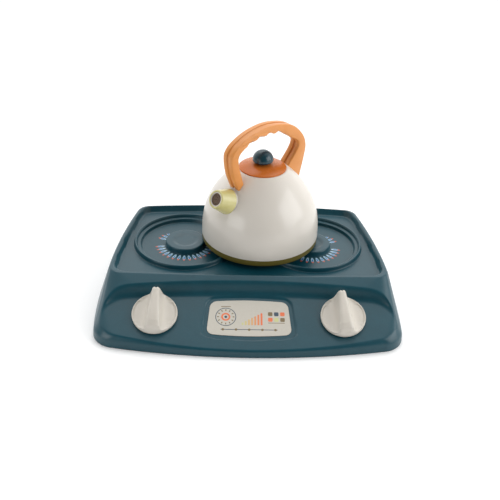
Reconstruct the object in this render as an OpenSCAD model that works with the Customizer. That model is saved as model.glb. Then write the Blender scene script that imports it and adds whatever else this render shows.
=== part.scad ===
// Toy hob with two burners, two turning knobs and a toy whistling kettle.
// Millimetres, +Z up. The origin is on the floor under the middle of the hob,
// and the control panel faces -Y.

/* [Hob] */
// Widest width of the casing, at the floor
hob_width = 291.2; // [280:0.4:300]
// Depth of the casing along its middle, at the floor
hob_depth = 207; // [200:0.5:214]
// Height of the rim round the tray
hob_height = 45; // [43:0.5:48]
// Height of the front edge of the casing at its corners
lip_height = 11; // [10:0.5:13]
// Depth of the tray below its rim
tray_depth = 6; // [4:0.5:7]
// Width of the rim round the tray
rim_width = 5; // [4:0.5:7]
// Wall thickness of the moulding
wall = 2.4; // [1.8:0.1:3]

/* [Control panel] */
// Tilt of the control panel from level
panel_tilt = 22; // [18:0.5:26]
// Distance of the knobs from the middle line
knob_x = 86.5; // [80:0.1:92]
// Distance of the knobs up the panel from its middle line
knob_v = -2.2; // [-4:0.1:1]
// Front-to-back place of the panel's middle line
panel_y = -67.6; // [-70:0.1:-65]
// Height of the panel's middle line
panel_z = 21.9; // [21:0.1:23]
// Turn of the left knob from straight up, anticlockwise
left_turn = -3; // [-180:1:180]
// Turn of the right knob from straight up, anticlockwise
right_turn = 5; // [-180:1:180]
// Width of the printed label at its middle
label_w = 75; // [60:1:80]
// Length of the printed label down the panel
label_l = 34; // [26:1:38]

/* [Burners] */
// Distance of the burner centres from the middle line
burner_x = 63.6; // [60:0.1:68]
// Front-to-back place of the burner centres
burner_y = 28.9; // [24:0.1:34]
// Radius of the burner ring at its crest
ring_r = 49.9; // [46:0.1:52]
// Height of the ring crest above the floor
ring_z = 43.6; // [42:0.1:45]
// Height of the burner floor above the floor
burner_floor = 36.5; // [35:0.1:38]
// Radius of the burner cap
cap_r = 19.6; // [16:0.1:22]
// Height of the burner cap top above the floor
cap_z = 42.4; // [40:0.1:43]

/* [Knobs] */
// Radius of the knob disc
knob_r = 20.9; // [18:0.1:23]
// Height of the knob rim above the panel
knob_rim = 4; // [3.5:0.1:5]
// Height of the knob grip at its pointer end
grip_h = 18.5; // [14:0.5:19]
// Radius of the hollow scooped out on each side of the grip
cove_r = 12.5; // [10:0.5:14]
// Radius of the knob stem
stem_r = 5; // [4:0.1:6]
// Gap between the stem and its bore
stem_gap = 0.05; // [0.02:0.01:0.1]

/* [Kettle] */
// Place of the kettle across the hob
kettle_x = 11.5; // [0:0.5:14]
// Place of the kettle from front to back
kettle_y = 37.5; // [30:0.5:38]
// Compass turn of the spout and handle
kettle_turn = 222; // [0:1:360]
// Radius of the kettle at its widest
kettle_r = 58.5; // [54:0.1:60]
// Height of the coloured base ring
base_h = 5; // [4:0.1:6]
// Height of the lid seat above the kettle's foot
seat_h = 77.2; // [76:0.1:79]
// Radius of the lid
lid_r = 23.2; // [22:0.1:24]
// Thickness of the kettle's shell
shell = 2; // [1.6:0.1:2.4]
// Upward tilt of the spout
spout_tilt = 27; // [22:0.5:32]
// Thickness of the handle
handle_t = 12.8; // [11:0.1:15]

/* [Hidden] */
$fn = 96;
eps = 0.02;

teal = [0.16, 0.32, 0.37];
cream = [0.86, 0.83, 0.78];
orange = [0.88, 0.56, 0.32];
lime = [0.80, 0.78, 0.45];
olive = [0.45, 0.40, 0.18];
brown = [0.32, 0.24, 0.20];
steel = [0.70, 0.71, 0.72];

// ---- the hob's plan: bowed front, back and sides with rounded corners ----

// Arcs that bound a plan: [half width, side radius, side centre y, front y, front radius,
// back y, back radius, front corner, back corner]
floor_plan = [hob_width / 2, 442, -30, -hob_depth / 2, 694, hob_depth / 2, 1000, 16, 14];
top_plan = [hob_width / 2 - 11.6, 575, -52, -40, 4000, hob_depth / 2 - 3.9, 1000, 13, 9];
shoulder_plan = [hob_width / 2 - 5, 442, -30, -99.5, 694, 60, 1000, 17, 20];
scoop_plan = [139.5, 601, -25, -140, 4000, 23.4, 1500, 20, 24];

function side_x(p, y) = p[0] - p[1] + sqrt(p[1] * p[1] - pow(y - p[2], 2));
function front_y(p, x) = p[3] + p[4] - sqrt(p[4] * p[4] - x * x);
function back_y(p, x) = p[5] - p[6] + sqrt(p[6] * p[6] - x * x);
// A plan drawn in by a margin on every side
function drawn_in(p, m) = [p[0] - m, p[1] - m, p[2], p[3] + m, p[4] - m, p[5] - m, p[6] - m,
    max(p[7] - m, 2), max(p[8] - m, 2)];
// Where the side meets the front or the back, found by stepping between the two arcs
function front_corner(p, y, n) = n == 0 ? [side_x(p, y), y] : front_corner(p, front_y(p, side_x(p, y)), n - 1);
function back_corner(p, y, n) = n == 0 ? [side_x(p, y), y] : back_corner(p, back_y(p, side_x(p, y)), n - 1);
// A round blend from a to b round the corner c
function blend(a, c, b, n) = [for (i = [0:n]) let (t = i / n, w = 1.414 * t * (1 - t))
    ((1 - t) * (1 - t) * a + w * c + t * t * b) / ((1 - t) * (1 - t) + w + t * t)];

function right_half(p, n) = let (
        cf = front_corner(p, p[3], 6),
        cb = back_corner(p, p[5], 6),
        f_end = cf[0] - p[7],
        b_end = cb[0] - p[8],
        y0 = cf[1] + p[7],
        y1 = cb[1] - p[8])
    concat(
        [for (i = [0:n - 1]) let (x = f_end * i / n) [x, front_y(p, x)]],
        blend([f_end, front_y(p, f_end)], cf, [side_x(p, y0), y0], n),
        [for (i = [1:n - 1]) let (y = y0 + (y1 - y0) * i / n) [side_x(p, y), y]],
        blend([side_x(p, y1), y1], cb, [b_end, back_y(p, b_end)], n),
        [for (i = [1:n]) let (x = b_end * (1 - i / n)) [x, back_y(p, x)]]);

module plan(p, n = 8) {
    half = right_half(p, n);
    polygon(concat(half, [for (i = [len(half) - 2:-1:1]) [-half[i][0], half[i][1]]]));
}

module slice(p, z, n = 8) {
    translate([0, 0, z]) linear_extrude(eps) plan(p, n);
}

// ---- the casing ----

edge_r = 2.6;
panel_rise = tan(panel_tilt);
tray_floor = hob_height - tray_depth;
tray_front = -36.5;

// Solid form of the casing, drawn in by a margin and lowered by a drop
module hob_form(margin, drop, n) {
    hull() {
        slice(drawn_in(floor_plan, margin), -1, n);
        slice(drawn_in(floor_plan, margin + 0.5), lip_height - drop - 4, n);
        slice(drawn_in(floor_plan, margin + 1.5), lip_height - drop - 1.4, n);
        slice(drawn_in(floor_plan, margin + 3), lip_height - drop, n);
        slice(drawn_in(shoulder_plan, margin), lip_height + 5 - drop, n);
        for (a = [0:30:90])
            slice(drawn_in(top_plan, margin + edge_r * (1 - cos(a))),
                hob_height - drop - edge_r * (1 - sin(a)) - eps, n);
    }
}

// Pocket of the tray: steep at the sides, gently sloped at the back
module tray_pocket() {
    top = [top_plan[0] - rim_width, top_plan[1], top_plan[2], tray_front, 2500,
        top_plan[5] - 1.6, 1000, 14, 9];
    bottom = [top[0] - 0.8, top[1], top[2], tray_front + 1, 2500, top[5] - 3.6, 1000, 14, 9];
    hull() {
        slice(bottom, tray_floor);
        slice(top, hob_height - 0.6);
        slice(top, hob_height + 2);
    }
}

// Puts things on the panel plane: x across, y up the slope, z out of the panel
module on_panel() {
    translate([0, panel_y, panel_z]) rotate([panel_tilt, 0, 0]) children();
}

module at_knob(side) {
    on_panel() translate([side * knob_x, knob_v, 0]) children();
}

// Scooped panel: floor on the panel plane, a soft fillet and flaring walls
module control_scoop() {
    on_panel() hull() {
        slice(drawn_in(scoop_plan, 4), 0);
        slice(drawn_in(scoop_plan, 1.5), 0.8);
        slice(drawn_in(scoop_plan, 0), 2.6);
        slice([scoop_plan[0] + 3, 604, -25, -140, 4000, scoop_plan[5] + 11, 1511, 20, 28], 16);
    }
}

// Section of the underside hollow, front to back: [y, z]
module underside_section() {
    panel_under = panel_z - wall / cos(panel_tilt);
    bend_y = -46;
    polygon([[-140, -2], [-140, panel_under + panel_rise * (-140 - panel_y)],
        [bend_y, panel_under + panel_rise * (bend_y - panel_y)],
        [bend_y + 5, tray_floor - wall], [140, tray_floor - wall], [140, -2]]);
}

module underside_hollow() {
    intersection() {
        hob_form(wall, wall, 6);
        rotate([90, 0, 90]) linear_extrude(hob_width, center = true) underside_section();
    }
}

// Section of a burner from its middle out: dish, cap, floor, ledge and ring: [r, z]
ring_out = ring_r + 1.2;
function burner_section() = [
    [0, cap_z - 1.1], [cap_r - 10, cap_z - 1.1], [cap_r - 6.6, cap_z], [cap_r - 0.8, cap_z],
    [cap_r, cap_z - 0.8], [cap_r + 0.6, burner_floor], [ring_r - 6, burner_floor],
    [ring_r - 4.9, ring_z - 3.3], [ring_r - 2, ring_z - 3.3], [ring_r - 0.8, ring_z - 0.5],
    [ring_r - 0.2, ring_z], [ring_r + 0.3, ring_z], [ring_r + 0.8, ring_z - 0.5],
    [ring_out, tray_floor], [ring_out, tray_floor - wall], [ring_r - 3.6, tray_floor - wall],
    [ring_r - 4.4, burner_floor - wall], [cap_r - 1.6, burner_floor - wall],
    [cap_r - 2.2, cap_z - wall - 0.8], [0, cap_z - wall - 1.1]];

module at_burners() {
    for (side = [-1, 1]) translate([side * burner_x, burner_y, 0]) children();
}

boss_r = 9;
boss_l = 8;
rib_t = 1.8;
rib_z = 22;

// Stiffening ribs and knob bosses moulded under the casing
module casing_ribs() {
    translate([-rib_t / 2, -36, rib_z]) cube([rib_t, 134, tray_floor - wall - rib_z + 0.5]);
    translate([-118, -33, rib_z]) cube([236, rib_t, tray_floor - wall - rib_z + 0.5]);
    for (side = [-1, 1]) at_knob(side)
        translate([0, 0, -wall - boss_l]) cylinder(r = boss_r, h = boss_l + 0.6);
}

recess_depth = 1.2;

module hob_casing() color(teal) difference() {
    union() {
        difference() {
            hob_form(0, 0, 8);
            tray_pocket();
            control_scoop();
            underside_hollow();
            at_burners() translate([0, 0, tray_floor - wall - 1]) cylinder(r = ring_r - 3.8, h = 20);
            translate([0, 0, -20]) cube([400, 400, 40], center = true);
        }
        at_burners() rotate_extrude() polygon(burner_section());
        casing_ribs();
    }
    for (side = [-1, 1]) at_knob(side)
        translate([0, 0, -30]) cylinder(r = stem_r + stem_gap, h = 60);
    on_panel() translate([0, label_y, -recess_depth]) linear_extrude(10) label_outline(4.2);
}

// ---- the printed label ----

label_y = -3.6;
label_corner = 6;
label_t = 0.5;

// Label outline: bowed top and bottom, sides that spread towards the front
module label_outline(grow) {
    top_half = label_w / 2 - 1.5 + grow;
    low_half = label_w / 2 + 1.5 + grow;
    half_l = label_l / 2 + grow;
    bow = 2;
    r = label_corner + grow / 2;
    right = concat(
        [[0, -half_l - bow]],
        blend([low_half - r, -half_l], [low_half, -half_l], [low_half - 0.4, r - half_l], 6),
        blend([top_half + 0.4, half_l - r], [top_half, half_l], [top_half - r, half_l], 6),
        [[0, half_l + bow]]);
    bowed = [for (p = right) [p[0], p[1] + sign(p[1]) * bow * (1 - pow(p[0] / low_half, 2)) * (p[0] == 0 ? 0 : 1)]];
    polygon(concat(bowed, [for (i = [len(bowed) - 2:-1:1]) [-bowed[i][0], bowed[i][1]]]));
}

module control_label() color(cream) on_panel()
    translate([0, label_y, -recess_depth]) linear_extrude(label_t) label_outline(0);

// ---- the knobs ----

disc_gap = 0.9;
stem_l = 10.9;
screw_r = 1.5;

// Side view of the grip: it climbs from the front rim to the pointer at the back
grip_line = [[-21.5, 0], [-20.7, knob_rim - 1.5], [-19, 8], [-16.4, 11.2], [-12, 13.2], [-4, 15],
    [6, 16.3], [14, grip_h - 0.5], [18, grip_h], [19.2, grip_h - 1.2], [20, knob_rim], [20.2, 0]];

module grip_side() {
    polygon(concat(curve(grip_line, 3), [[20, 3], [-20.6, 3]]));
}

// What is hollowed away beside the grip: x outwards from the cove's middle, y up
module cove_section() {
    translate([0, cove_r]) circle(r = cove_r);
    square([24, 24]);
    translate([-cove_r, cove_r]) square([30, 24]);
}

module knob() {
    face = knob_rim - 0.9;
    top_half = 4.6;
    toe_in = 5;
    difference() {
        union() {
            translate([0, 0, disc_gap]) cylinder(r = knob_r, h = knob_rim - disc_gap - 0.6);
            translate([0, 0, knob_rim - 0.6 - eps]) cylinder(r1 = knob_r, r2 = knob_r - 0.5, h = 0.6);
            intersection() {
                cylinder(r = knob_r - 0.6, h = grip_h + 1);
                rotate([90, 0, 90]) linear_extrude(2 * knob_r, center = true) grip_side();
            }
            translate([0, 0, -stem_l]) cylinder(r = stem_r, h = stem_l + disc_gap + 1);
        }
        intersection() {
            union() {
                translate([0, 0, face]) cylinder(r1 = knob_r - 1.9, r2 = knob_r - 1.4, h = 0.91);
                translate([0, 0, knob_rim - 0.01]) cylinder(r = knob_r + 1, h = grip_h);
            }
            for (side = [0, 1]) mirror([side, 0, 0]) translate([top_half + cove_r, 0, face])
                rotate([90, 0, toe_in]) linear_extrude(60, center = true) cove_section();
        }
        translate([-0.7, 17, grip_h - 0.7]) cube([1.4, 5, 3]);
        translate([0, 0, -stem_l - 1]) cylinder(r = screw_r, h = stem_l + 1);
    }
}

// Self-tapping screw with a wide washer head that holds a knob from below
module knob_screw() {
    head_z = -stem_l;
    translate([0, 0, head_z - 1.2]) cylinder(r = stem_r + 2.4, h = 1.2);
    difference() {
        translate([0, 0, head_z - 3.2]) cylinder(r1 = 2.6, r2 = 3.2, h = 2 + eps);
        translate([0, 0, head_z - 3.3]) {
            cube([3.6, 0.8, 2.4], center = true);
            cube([0.8, 3.6, 2.4], center = true);
        }
    }
    translate([0, 0, head_z - eps]) cylinder(r = screw_r, h = 9);
}

module left_knob() color(cream) at_knob(-1) rotate([0, 0, left_turn]) knob();
module right_knob() color(cream) at_knob(1) rotate([0, 0, right_turn]) knob();
module left_knob_screw() color(steel) at_knob(-1) rotate([0, 0, left_turn]) knob_screw();
module right_knob_screw() color(steel) at_knob(1) rotate([0, 0, right_turn]) knob_screw();

// ---- the kettle: x points along the spout, y across the handle ----

module on_hob() {
    translate([kettle_x, kettle_y, ring_z]) rotate([0, 0, kettle_turn]) children();
}

dome_start = 6.4;
dome_h = 86.8;
dome_power = 2.6;
// Radius of the kettle's shell at a height above its foot
function dome_r(h) = kettle_r * (1 - pow(max(h - dome_start, 0) / dome_h, dome_power));

filler_r = lid_r - 3;
dome_steps = 20;

function dome_side(thin, from, to) = [for (i = [0:dome_steps])
    let (h = from + (to - from) * i / dome_steps) [dome_r(h) - thin, h]];

// Solid of the kettle's outside, for trimming what stands on it
module dome_solid(thin) {
    rotate_extrude() polygon(concat([[0, base_h]], dome_side(thin, base_h, seat_h), [[0, seat_h]]));
}

spout_s = 60;
spout_h = 62.7;
spout_l = 16;
spout_r = 8.5;
spout_base_r = 12.6;
stub_r = 6.9;
bore_r = 6;

// Puts things on the spout's axis: z runs out of the mouth, 0 at the mouth
module on_spout() {
    translate([spout_s, 0, spout_h]) rotate([0, 90 - spout_tilt, 0]) children();
}

module kettle_body() color(cream) on_hob() difference() {
    union() {
        rotate_extrude() polygon(concat(
            dome_side(0, base_h, seat_h),
            [[filler_r, seat_h], [filler_r, seat_h - shell - 0.6]],
            [for (i = [dome_steps - 2:-1:0]) let (h = base_h + (seat_h - base_h) * i / dome_steps)
                [dome_r(h) - shell, h]]));
        difference() {
            on_spout() {
                translate([0, 0, -30]) cylinder(r = stub_r, h = 29.6);
                translate([0, 0, -spout_l - 12]) cylinder(r = spout_base_r - 0.6, h = 12);
            }
            dome_solid(shell);
        }
    }
    on_spout() translate([0, 0, -34]) cylinder(r = bore_r, h = 40);
    handle_screw_axes() translate([0, 0, -6]) cylinder(r = screw_r + 0.2, h = 8);
}

module kettle_base() color(olive) on_hob() rotate_extrude() polygon([
    [0, 1.6], [50, 1.6], [52, 0], [kettle_r - 1, 0], [kettle_r - 0.3, 0.6], [kettle_r - 0.2, base_h],
    [kettle_r - shell - 0.1, base_h], [kettle_r - shell - 0.2, base_h + 4],
    [kettle_r - shell - 1.8, base_h + 4], [kettle_r - shell - 2, base_h - 1.2], [0, base_h - 1.2]]);

// Conical sleeve over the stub of the spout, its root cut to the dome
module kettle_spout() color(lime) on_hob() difference() {
    on_spout() {
        difference() {
            union() {
                translate([0, 0, -spout_l]) cylinder(r1 = spout_base_r, r2 = spout_r + 0.2, h = spout_l - 0.6);
                translate([0, 0, -0.6 - eps]) cylinder(r1 = spout_r + 0.2, r2 = spout_r - 0.4, h = 0.6);
            }
            translate([0, 0, -40]) cylinder(r = stub_r, h = 60);
        }
    }
    dome_solid(0);
}

strainer_pitch = 2.6;

// Perforated disc set just inside the mouth
module spout_strainer() color(brown) on_hob() on_spout() translate([0, 0, -3.2]) difference() {
    cylinder(r = bore_r, h = 1.6);
    for (ring = [0:2], i = [0:max(ring * 6 - 1, 0)])
        rotate([0, 0, i * 60 / max(ring, 1)]) translate([ring * strainer_pitch * 0.8, 0, -1])
            cylinder(r = 0.55, h = 4, $fn = 16);
}

// ---- the handle: an arch with grooved edges and a scalloped grip ----

// Points that the arch passes through, from the spout side over the top: [x, height]
arch_outside = [[29.6, 52], [34, 61], [39, 71.6], [43.5, 83.4], [45.9, 97], [44.3, 104.9], [37, 111.7],
    [21.8, 118.2], [3, 121.3], [-15, 119.8], [-33.7, 113.7], [-47.9, 101], [-53.2, 89], [-51.9, 76.5],
    [-48, 60], [-45.2, 46], [-43.6, 38]];
arch_inside = [[24, 60], [28.4, 66.6], [33.2, 80], [37.4, 95], [36.2, 102.6], [28.4, 108.2], [17, 111.8],
    [3, 113], [-10, 112], [-20, 109.6], [-31, 102.4], [-41, 95.8], [-43, 91], [-39.6, 84.2],
    [-31, 74], [-26, 66], [-22, 58]];

// Smooth curve through points
function curve(p, n) = [for (i = [1:len(p) - 3], j = [0:n - 1]) let (t = j / n)
    0.5 * (2 * p[i] + t * (p[i + 1] - p[i - 1])
        + t * t * (2 * p[i - 1] - 5 * p[i] + 4 * p[i + 1] - p[i + 2])
        + t * t * t * (3 * p[i] - p[i - 1] - 3 * p[i + 1] + p[i + 2]))];
// Curve moved sideways by a distance; a list of distances makes scallops
function unit(v) = v / norm(v);
function moved(p, d) = [for (i = [0:len(p) - 1]) let (
        t = unit(p[min(i + 1, len(p) - 1)] - p[max(i - 1, 0)]))
    p[i] + (is_list(d) ? d[i] : d) * [t[1], -t[0]]];

grip_from = -19.7;
grip_to = 27.5;
grip_fingers = 4;
finger_depth = 1.8;
tooth = 0.35;

outside = curve(arch_outside, 5);
inside = curve(arch_inside, 8);
// Finger hollows go up into the grip where it lies under the hand, with flat teeth between
scallops = [for (p = inside) let (turn = 180 * grip_fingers * (p[0] - grip_from) / (grip_to - grip_from))
    p[0] > grip_from && p[0] < grip_to && p[1] > 100
        ? finger_depth * max(abs(sin(turn)) - tooth, 0) / (1 - tooth) : 0];
groove_depth = 1.6;
groove_w = 1.6;

function closed(a, b) = concat(a, [for (i = [len(b) - 1:-1:0]) b[i]]);

module handle_plate(t, y) {
    translate([0, y, 0]) rotate([90, 0, 0]) linear_extrude(t, center = true) children();
}

module kettle_handle() color(orange) on_hob() difference() {
    union() {
        for (side = [-1, 1])
            handle_plate((handle_t - groove_w) / 2, side * (handle_t + groove_w) / 4)
                polygon(closed(outside, moved(inside, scallops)));
        handle_plate(groove_w + eps, 0)
            polygon(closed(moved(outside, -groove_depth), moved(inside, groove_depth)));
    }
    dome_solid(0);
    handle_screw_axes() translate([0, 0, -6]) cylinder(r = screw_r, h = 9.4);
}

// Lines square to the dome's outside through the middle of each foot: [side, height]
module handle_screw_axes() {
    for (foot = [[1, 68.9], [-1, 62.5]]) {
        slope = kettle_r * dome_power / dome_h * pow((foot[1] - dome_start) / dome_h, dome_power - 1);
        translate([foot[0] * dome_r(foot[1]), 0, foot[1]]) rotate([0, foot[0] * (90 - atan(slope)), 0])
            children();
    }
}

module handle_screws() color(steel) on_hob() handle_screw_axes() {
    translate([0, 0, -shell - 1.3]) cylinder(r1 = 2.2, r2 = 3, h = 1.6);
    translate([0, 0, -shell]) cylinder(r = screw_r, h = shell + 3.2);
}

// ---- the lid ----

lid_rise = 4.2;
lid_t = 1.8;
plug_r = filler_r - 0.4;
plug_l = 4.5;
lid_boss_r = 4.8;

// Height of the lid's top above its seat at a radius: a shallow dome
function lid_top(r) = lid_rise * (1 - pow(r / lid_r, 2)) + 1;

module kettle_lid() color(orange) on_hob() translate([0, 0, seat_h]) difference() {
    union() {
        rotate_extrude() polygon(concat(
            [[0, lid_top(0) - lid_t]],
            [for (i = [0:10]) let (r = (lid_r - 0.4) * i / 10) [r, lid_top(r)]],
            [[lid_r, 0.4], [lid_r, 0], [lid_r - lid_t, 0], [10, lid_top(10) - lid_t]]));
        rotate_extrude() polygon([[plug_r - 1.6, lid_top(plug_r) - 1], [plug_r, lid_top(plug_r) - 1],
            [plug_r, 0], [plug_r - 0.3, -plug_l], [plug_r - 1.5, -plug_l]]);
        translate([0, 0, 0.5]) cylinder(r = lid_boss_r, h = 3);
    }
    translate([0, 0, -1]) cylinder(r = screw_r + 0.2, h = 10);
    translate([0, 0, -1]) cylinder(r = lid_boss_r - 1.5, h = lid_top(0) - lid_t + 0.65);
}

ball_r = 10.2;
ball_low = 3.1;
ball_high = 9.9;
ball_z = seat_h + lid_rise + 1 + ball_low;

// Knob of the lid: a round top on a shorter, flatter underside
module lid_knob() color(teal) on_hob() translate([0, 0, ball_z]) difference() {
    rotate_extrude() polygon(concat(
        [[0, -ball_low]],
        [for (a = [-62:8:-6]) [ball_r * cos(a), ball_low / sin(62) * sin(a)]],
        [for (a = [0:9:81]) [ball_r * cos(a), ball_high * sin(a)]],
        [[0, ball_high]]));
    translate([0, 0, -ball_low - 1]) cylinder(r = screw_r, h = 9);
}

module lid_knob_screw() color(steel) on_hob() translate([0, 0, seat_h + lid_rise + 1 - lid_t]) {
    translate([0, 0, -2]) cylinder(r1 = 2.4, r2 = 3, h = 1.6);
    translate([0, 0, -0.5]) cylinder(r = screw_r, h = 9);
}

hob_casing();
control_label();
left_knob();
right_knob();
left_knob_screw();
right_knob_screw();
kettle_body();
kettle_base();
kettle_spout();
spout_strainer();
kettle_handle();
handle_screws();
kettle_lid();
lid_knob();
lid_knob_screw();
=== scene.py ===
import math

import bmesh
import bpy
import numpy as np
from mathutils import Matrix, Vector


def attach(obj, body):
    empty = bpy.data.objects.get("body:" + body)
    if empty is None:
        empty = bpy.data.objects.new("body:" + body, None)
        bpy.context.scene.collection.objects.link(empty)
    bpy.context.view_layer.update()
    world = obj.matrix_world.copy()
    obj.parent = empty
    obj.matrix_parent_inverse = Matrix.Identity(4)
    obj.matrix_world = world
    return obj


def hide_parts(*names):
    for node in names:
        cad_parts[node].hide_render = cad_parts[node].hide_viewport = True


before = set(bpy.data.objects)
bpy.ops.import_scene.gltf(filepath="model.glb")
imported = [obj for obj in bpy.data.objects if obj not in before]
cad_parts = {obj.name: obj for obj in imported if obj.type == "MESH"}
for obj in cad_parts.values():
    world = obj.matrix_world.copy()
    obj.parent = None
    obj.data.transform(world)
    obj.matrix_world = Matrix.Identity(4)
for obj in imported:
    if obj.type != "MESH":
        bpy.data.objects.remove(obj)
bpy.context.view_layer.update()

# ---------------------------------------------------------------- camera, light and floor
# The set is photographed from in front and a little left, 32 degrees above the table, on a
# white sweep. One large softbox hangs above and behind it, and two smaller ones stand to its
# left and right.

MM = 0.001
camera_at = np.array([-23.093, -619.866, 440.877]) * MM
camera_right = Vector((0.999270, -0.017369, 0.034032))
camera_up = Vector((-0.019486, 0.534498, 0.844945))
camera_back = camera_right.cross(camera_up)

camera_data = bpy.data.cameras.new("camera")
camera_data.lens = 54.0
camera_data.sensor_width = 36.0
camera = bpy.data.objects.new("camera", camera_data)
camera.matrix_world = Matrix((
    (camera_right.x, camera_up.x, camera_back.x, camera_at[0]),
    (camera_right.y, camera_up.y, camera_back.y, camera_at[1]),
    (camera_right.z, camera_up.z, camera_back.z, camera_at[2]),
    (0, 0, 0, 1)))
bpy.context.scene.collection.objects.link(camera)
bpy.context.scene.camera = camera
bpy.context.scene.view_settings.view_transform = "Standard"


def softbox(name, at, target, width, height, power):
    """A rectangular light at one point that faces another."""
    data = bpy.data.lights.new(name, "AREA")
    data.shape = "RECTANGLE"
    data.size, data.size_y, data.energy = width, height, power
    lamp = bpy.data.objects.new(name, data)
    aim = (Vector(target) - Vector(at)).to_track_quat("-Z", "Y")
    lamp.matrix_world = Matrix.Translation(at) @ aim.to_matrix().to_4x4()
    bpy.context.scene.collection.objects.link(lamp)


softbox("overhead_box", (0.0, 0.75, 1.4), (0, 0, 0), 1.4, 1.0, 7)
softbox("left_box", (-0.83, -0.62, 0.3), (0, 0, 0.08), 0.7, 0.4, 3.0)
softbox("right_box", (1.01, -0.33, 0.52), (0, 0, 0.08), 1.0, 0.8, 8.5)


class Value:
    """A socket of a material's nodes. Python's operators on it add Math nodes."""

    def __init__(self, paint, socket):
        self.paint, self.socket = paint, socket

    def math(self, operation, *others):
        return self.paint.node("Math", {"operation": operation}, dict(enumerate((self, *others))))

    def reflected(self, operation, other):
        return self.paint.node("Math", {"operation": operation}, {0: other, 1: self})

    def __add__(self, other): return self.math("ADD", other)
    def __radd__(self, other): return self.math("ADD", other)
    def __sub__(self, other): return self.math("SUBTRACT", other)
    def __rsub__(self, other): return self.reflected("SUBTRACT", other)
    def __mul__(self, other): return self.math("MULTIPLY", other)
    def __rmul__(self, other): return self.math("MULTIPLY", other)
    def __truediv__(self, other): return self.math("DIVIDE", other)
    def __rtruediv__(self, other): return self.reflected("DIVIDE", other)
    def __abs__(self): return self.math("ABSOLUTE")

    def output(self, name):
        return Value(self.paint, self.socket.node.outputs[name])


class Paint:
    """A material on the Principled shader. Its patterns are laid out in millimetres."""

    def __init__(self, name, **constants):
        self.material = bpy.data.materials.new(name)
        self.material.use_nodes = True
        self.nodes = self.material.node_tree.nodes
        self.links = self.material.node_tree.links
        self.shader = self.nodes["Principled BSDF"]
        for socket, value in constants.items():
            self.put(socket.replace("_", " "), value)
        here = self.node("TexCoord", {}, {}).output("Object")
        self.place = self.node("VectorMath", {"operation": "SCALE"}, {0: here, "Scale": 1 / MM})

    def node(self, kind, settings, sockets):
        """A node of a kind, with its settings made first and then its sockets' values or links."""
        node = self.nodes.new("ShaderNode" + kind)
        for name, value in settings.items():
            setattr(node, name, value)
        for name, value in sockets.items():
            if isinstance(value, Value):
                self.links.new(value.socket, node.inputs[name])
            else:
                node.inputs[name].default_value = value
        return Value(self, next(s for s in node.outputs if s.enabled))

    def put(self, socket, value):
        """A constant or a link on one of the shader's own sockets."""
        if isinstance(value, Value):
            self.links.new(value.socket, self.shader.inputs[socket])
        else:
            if socket == "Base Color":
                value = (*value, 1)
            self.shader.inputs[socket].default_value = value

    def noise(self, scale, detail=2.0, roughness=0.5):
        """Noise whose grains are one over scale millimetres wide."""
        return self.node("TexNoise", {}, {"Vector": self.place, "Scale": scale,
                                          "Detail": detail, "Roughness": roughness})

    def step(self, value, low, high):
        """A soft step from 0 at low to 1 at high."""
        return self.node("MapRange", {"interpolation_type": "SMOOTHSTEP"},
                         {"Value": value, "From Min": low, "From Max": high})

    def mix(self, share, a, b):
        """Colour a, going over to colour b as share goes from 0 to 1."""
        return self.node("Mix", {"data_type": "RGBA"}, {
            0: share, 6: a if isinstance(a, Value) else (*a, 1), 7: b if isinstance(b, Value) else (*b, 1)})

    def mix_values(self, share, a, b):
        """Number a, going over to number b as share goes from 0 to 1."""
        return a + share * (b - a)

    def colours(self, scale, dark, light, detail=2.0):
        """A base colour that drifts between two sRGB colours, on noise of a scale."""
        self.put("Base Color", self.mix(self.noise(scale, detail), srgb(*dark), srgb(*light)))

    def sheen(self, scale, low, high, detail=2.0):
        """A roughness that drifts between two values, on noise of a scale."""
        self.put("Roughness", self.mix_values(self.noise(scale, detail), low, high))

    def bump(self, height, distance, strength=1.0):
        """Relief of a height in millimetres."""
        self.put("Normal", self.node("Bump", {}, {
            "Height": height, "Distance": distance * MM, "Strength": strength}))

    def axes(self):
        """The three coordinates in millimetres."""
        parts = self.node("SeparateXYZ", {}, {0: self.place})
        return parts.output("X"), parts.output("Y"), parts.output("Z")


def srgb(*levels):
    """Linear colour of an sRGB colour given in 0 to 255."""
    c = np.array(levels) / 255
    return tuple(np.where(c < 0.04045, c / 12.92, ((c + 0.055) / 1.055) ** 2.4))


# The studio lights the set from overhead and behind, and little from in front. Where the
# camera sees past the floor there is a white wall on every side.
world = bpy.data.worlds.new("studio")
world.use_nodes = True
sky, sky_links = world.node_tree.nodes, world.node_tree.links
toward = sky.new("ShaderNodeTexCoord")
lean = sky.new("ShaderNodeVectorMath")
lean.operation = "DOT_PRODUCT"
lean.inputs[1].default_value = (0, 0.94, 0.34)
fade = sky.new("ShaderNodeMapRange")
fade.interpolation_type = "SMOOTHSTEP"
for socket, value in (("From Min", -0.3), ("From Max", 0.85), ("To Min", 0.12), ("To Max", 1.5)):
    fade.inputs[socket].default_value = value
sky_links.new(toward.outputs["Generated"], lean.inputs[0])
sky_links.new(lean.outputs["Value"], fade.inputs["Value"])
seen = sky.new("ShaderNodeLightPath")
brighter = sky.new("ShaderNodeMath")
brighter.operation = "MAXIMUM"
sky_links.new(fade.outputs["Result"], brighter.inputs[0])
sky_links.new(seen.outputs["Is Camera Ray"], brighter.inputs[1])
sky_links.new(brighter.outputs[0], sky["Background"].inputs["Strength"])
sky["Background"].inputs["Color"].default_value = (1, 1, 1, 1)
bpy.context.scene.world = world

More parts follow.
